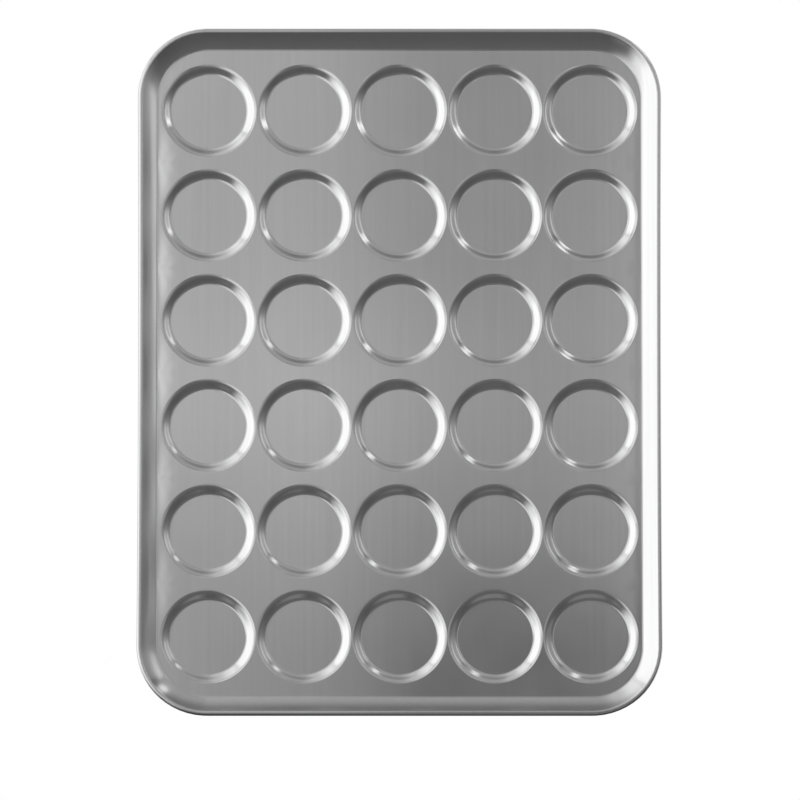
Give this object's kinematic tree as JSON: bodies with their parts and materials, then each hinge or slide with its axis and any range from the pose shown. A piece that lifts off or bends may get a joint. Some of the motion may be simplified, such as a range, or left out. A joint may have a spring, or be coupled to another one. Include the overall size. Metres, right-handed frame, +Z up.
{
  "type": "hamburger bun pan",
  "caption": "Shallow rectangular baking pan pressed from one metal sheet, with rows of round cups for buns, sloped walls and an edge rolled over a wire.",
  "frame": {"origin": "middle of the pan, on the plane of the cup floors' undersides that it stands on", "axes": "+X across the pan, +Y along its length away from the picture's viewer, +Z up out of the cups"},
  "size_m": [0.6, 0.8, 0.0225],
  "materials": {
    "aluminised_sheet": "aluminised steel sheet, satin, with fine rolling grain along the pan",
    "rim_wire": "drawn steel wire, bright"
  },
  "bodies": {
    "root": {"cup_r1_c1": "aluminised_sheet", "cup_r1_c2": "aluminised_sheet", "cup_r1_c3": "aluminised_sheet", "cup_r1_c4": "aluminised_sheet", "cup_r1_c5": "aluminised_sheet", "cup_r2_c1": "aluminised_sheet", "cup_r2_c2": "aluminised_sheet", "cup_r2_c3": "aluminised_sheet", "cup_r2_c4": "aluminised_sheet", "cup_r2_c5": "aluminised_sheet", "cup_r3_c1": "aluminised_sheet", "cup_r3_c2": "aluminised_sheet", "cup_r3_c3": "aluminised_sheet", "cup_r3_c4": "aluminised_sheet", "cup_r3_c5": "aluminised_sheet", "cup_r4_c1": "aluminised_sheet", "cup_r4_c2": "aluminised_sheet", "cup_r4_c3": "aluminised_sheet", "cup_r4_c4": "aluminised_sheet", "cup_r4_c5": "aluminised_sheet", "cup_r5_c1": "aluminised_sheet", "cup_r5_c2": "aluminised_sheet", "cup_r5_c3": "aluminised_sheet", "cup_r5_c4": "aluminised_sheet", "cup_r5_c5": "aluminised_sheet", "cup_r6_c1": "aluminised_sheet", "cup_r6_c2": "aluminised_sheet", "cup_r6_c3": "aluminised_sheet", "cup_r6_c4": "aluminised_sheet", "cup_r6_c5": "aluminised_sheet", "front_wall": "aluminised_sheet", "back_wall": "aluminised_sheet", "left_wall": "aluminised_sheet", "right_wall": "aluminised_sheet", "front_left_corner": "aluminised_sheet", "front_right_corner": "aluminised_sheet", "back_left_corner": "aluminised_sheet", "back_right_corner": "aluminised_sheet", "rim_wire": "rim_wire"}
  },
  "joints": []
}
